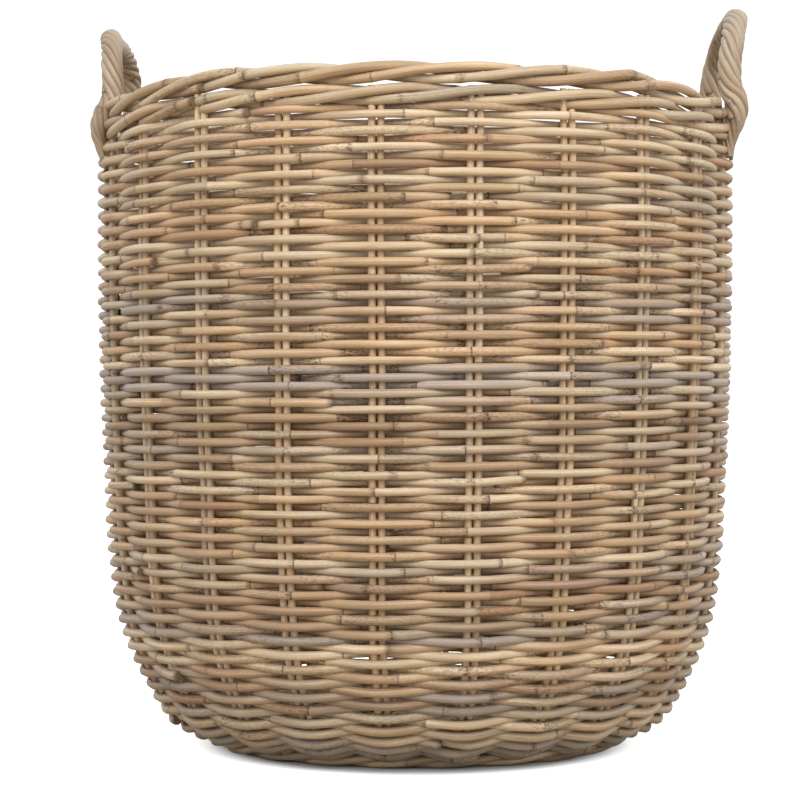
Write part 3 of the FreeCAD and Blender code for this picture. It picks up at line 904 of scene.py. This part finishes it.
for name, node, count, side, turn in (
    ("base_sticks_lower", "base_sticks_across", 5, -1, math.radians(pairShift)),
    ("base_sticks_upper", "base_sticks_through", 6, 1, math.radians(90 + pairShift)),
):
    lines = fannedSticks(name + "_line", count, side * base["thick"], turn)
    settings = {
        "Path": lines, "Paths": count, "Strands": count, "Points": 160, "Twists": 0.0, "Phase": 0.0,
        "Rope radius": 0.0, "Cane radius": base["thick"], "Radius spread": 0.04, "Taper": 0.0,
        "Wander": 0.0, "Path length": 2 * baseReach, "Ragged ends": 0.0, "Tail share": 0.1,
        "Seed": 60 + count,
    }
    asMesh(name, pathCanes, settings, canes["baseCane"], [node])
    bpy.data.objects.remove(lines)

baseWeave = {
    "Inset": 0.0, "Side dip": 0.0, "Corner drop": 0.0, "Low share": 0.0, "Low thicker": 0.0,
    "Turn length": 0.63, "Cane turns": 1.6, "Overlap turns": 0.04, "Wander": 0.0007, "Seed": 29,
}
discLength = baseReach - base["weaveFrom"]
discKnots = [Vector((base["weaveFrom"] + discLength * f, 0, baseMiddle)) for f in (0, 0.5, 1)]
floorLine = guide("base_line", [discKnots])
weavePiece("woven_base", {**weave, **baseWeave}, floorLine, discLength, 0.0, discLength - base["rimGap"],
           "baseCane", ["base_weave"])
bpy.data.objects.remove(floorLine)
print("base done")


# Handles.

handle = {
    "Strands": 7, "Paths": 1, "Points": 300, "Twists": -4.6, "Phase": 0.5,
    "Radius spread": 0.07, "Taper": 0.82, "Wander": 0.0006, "Ragged ends": 0.03,
    "Tail share": 0.13,
}
archInset = (0.0090, 0.0088)   # from the arch's outermost and highest points in to the rope's middle line
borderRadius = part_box("top_border")[1].x
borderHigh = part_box("top_border")[1].z

# the knots of each rope's line, from the tail's tip up to the arch: (outwards from the rim's edge, height
# over the rim's top, share of the way to the middle of the arch)
handleKnots = {
    "right": [(-0.0008, -0.0540, 0), (0.0004, -0.0370, 0), (0.0038, -0.0230, 0), (0.0042, -0.0110, 0),
              (0.0002, 0.0010, 0), (-0.0008, 0.0150, 0.01), (0.0030, 0.0380, 0.14)],
    "left": [(-0.0020, -0.0560, 0), (0.0010, -0.0430, 0), (0.0022, -0.0310, 0), (-0.0016, -0.0200, 0),
             (-0.0076, -0.0080, 0), (-0.0080, 0.0140, 0.01), (-0.0064, 0.0310, 0.16)],
}
farLegOut = {"right": 0.0040, "left": 0.0}   # how much further out the far leg stands than the near one
ropeThick = {
    "right": {"Rope radius": 0.0061, "Cane radius": 0.0029},
    "left": {"Rope radius": 0.0055, "Cane radius": 0.0027},
}


def handleLine(word, side):
    archLow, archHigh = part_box(word + "_handle")
    tailLow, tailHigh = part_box(word + "_tail_front")
    half = abs(tailLow.y + tailHigh.y) / 2
    swing = math.asin(half / ((abs(tailLow.x + tailHigh.x) / 2) ** 2 + half ** 2) ** 0.5)
    inward, down = archInset
    top = Vector((side * (max(abs(archLow.x), abs(archHigh.x)) - inward), 0, archHigh.z - down))
    legs = []
    for way in (-1, 1):
        leg = []
        for outward, height, share in handleKnots[word]:
            further = farLegOut[word] if way > 0 and height > 0 else 0
            reach = borderRadius + outward + further
            y = way * reach * math.sin(swing) * (1 - share)
            leg.append(Vector((side * reach * math.cos(swing), y, borderHigh + height)))
        legs.append(leg)
    return guide(word + "_line", [legs[0] + [top] + legs[1][::-1]])


for word, side in (("right", 1), ("left", -1)):
    line = handleLine(word, side)
    length = guideLine(line)[1][-1]
    settings = {**handle, **ropeThick[word], "Path": line, "Path length": length, "Seed": 70 + side}
    nodes = [word + "_handle", word + "_tail_front", word + "_tail_back"]
    asMesh(word + "_rope_handle", pathCanes, settings, canes["handleCane"], nodes)
    bpy.data.objects.remove(line)
bpy.data.objects.remove(wall)
print("handles done")


# Floor, light and camera.

studio = {
    "world": 1.18,
    "floorHalf": 12.0,
    "floorRough": 0.9,
    "floorSpecular": 0.1,
    "floorShade": 0.62,       # as the camera sees it
    "floorBounce": 0.42,      # as it lights the basket
    # painted light on the floor, fading to a painted contact shadow near the basket
    "paintedFloorGlow": 0.85,
    # centre, reach and stretch of the painted contact shadow
    "paintedShadowMiddle": (0.0, 0.02, 0.0),
    "paintedShadowReach": (0.150, 0.186),
    "paintedShadowShape": (1.10, 1.0, 1.0),
    "lens": 112.9,
    "distance": 1.95,
    "height": 0.272,
    "sideStep": -0.012,
    "tilt": 0.27,             # degrees down from level
}
lamps = {
    # name: (place, aim, size, power)
    "overhead": ((0.2, -2.0, 1.95), (0, 0, 0.2), 1.5, 35),
    "front_left": ((-1.4, -2.3, 1.6), (0, 0, 0.3), 1.0, 8),
    "front_right": ((1.7, -2.0, 1.4), (0, 0, 0.25), 1.4, 11),
}

world = bpy.data.worlds.new("studio")
world.use_nodes = True
shell = world.node_tree.nodes["Background"]
shell.inputs["Color"].default_value = (1, 1, 1, 1)
shell.inputs["Strength"].default_value = studio["world"]
bpy.context.scene.world = world
bpy.context.scene.view_settings.view_transform = "Standard"


def paintedFloorLight():
    # painted light: the floor glows for the camera only, none under the basket and full strength on the open
    # floor round it, which leaves a painted contact shadow round the foot, a little to the front
    net = Net("paper painted light", "ShaderNodeTree")
    place = net.summed(net.add("ShaderNodeTexCoord", output="Object"), studio["paintedShadowMiddle"])
    place = net.vectorMath("MULTIPLY", place, studio["paintedShadowShape"])
    reach = net.add("ShaderNodeVectorMath", {"Vector": place}, {"operation": "LENGTH"}, output="Value")
    net.output("Glow", "Float", net.ramp(reach, *studio["paintedShadowReach"]) * studio["paintedFloorGlow"])
    return net.tree


def makePaper():
    # the camera sees a paler floor than the one that bounces light onto the basket, and only the camera sees
    # its glow, which is painted light with a painted contact shadow round the foot
    paper = bpy.data.materials.new("paper")
    paper.use_nodes = True
    tree = paper.node_tree
    shader = tree.nodes["Principled BSDF"]
    shader.inputs["Roughness"].default_value = studio["floorRough"]
    shader.inputs["Specular IOR Level"].default_value = studio["floorSpecular"]
    shader.inputs["Emission Color"].default_value = (1, 1, 1, 1)
    glow = tree.nodes.new("ShaderNodeGroup")
    glow.node_tree = paintedFloorLight()
    seen = tree.nodes.new("ShaderNodeLightPath")
    seenGlow = tree.nodes.new("ShaderNodeMath")
    seenGlow.operation = "MULTIPLY"
    tree.links.new(glow.outputs["Glow"], seenGlow.inputs[0])
    tree.links.new(seen.outputs["Is Camera Ray"], seenGlow.inputs[1])
    tree.links.new(seenGlow.outputs[0], shader.inputs["Emission Strength"])
    tint = tree.nodes.new("ShaderNodeMix")
    tint.data_type = "RGBA"
    sockets = {s.name: s for s in tint.inputs if s.enabled}
    sockets["A"].default_value = (studio["floorBounce"],) * 3 + (1,)
    sockets["B"].default_value = (studio["floorShade"],) * 3 + (1,)
    tree.links.new(seen.outputs["Is Camera Ray"], sockets["Factor"])
    tree.links.new(next(s for s in tint.outputs if s.enabled), shader.inputs["Base Color"])
    return paper


wide = studio["floorHalf"]
floorMesh = bpy.data.meshes.new("floor")
floorCorners = [(-wide, -wide, 0), (wide, -wide, 0), (wide, wide, 0), (-wide, wide, 0)]
floorMesh.from_pydata(floorCorners, [], [(0, 1, 2, 3)])
floorMesh.materials.append(makePaper())
floor = bpy.data.objects.new("floor", floorMesh)
bpy.context.collection.objects.link(floor)

for name, (place, aim, size, power) in lamps.items():
    lamp = bpy.data.lights.new(name, "AREA")
    lamp.size = size
    lamp.energy = power
    thing = bpy.data.objects.new(name, lamp)
    thing.location = place
    thing.rotation_euler = (Vector(aim) - Vector(place)).to_track_quat("-Z", "Y").to_euler()
    bpy.context.collection.objects.link(thing)

camera = bpy.data.cameras.new("camera")
camera.lens = studio["lens"]
camera.sensor_width = 36
camera.clip_end = 50
cameraObject = bpy.data.objects.new("camera", camera)
cameraObject.location = (studio["sideStep"], -studio["distance"], studio["height"])
cameraObject.rotation_euler = (math.radians(90 - studio["tilt"]), 0, 0)
bpy.context.collection.objects.link(cameraObject)
bpy.context.scene.camera = cameraObject
print("camera and light done")
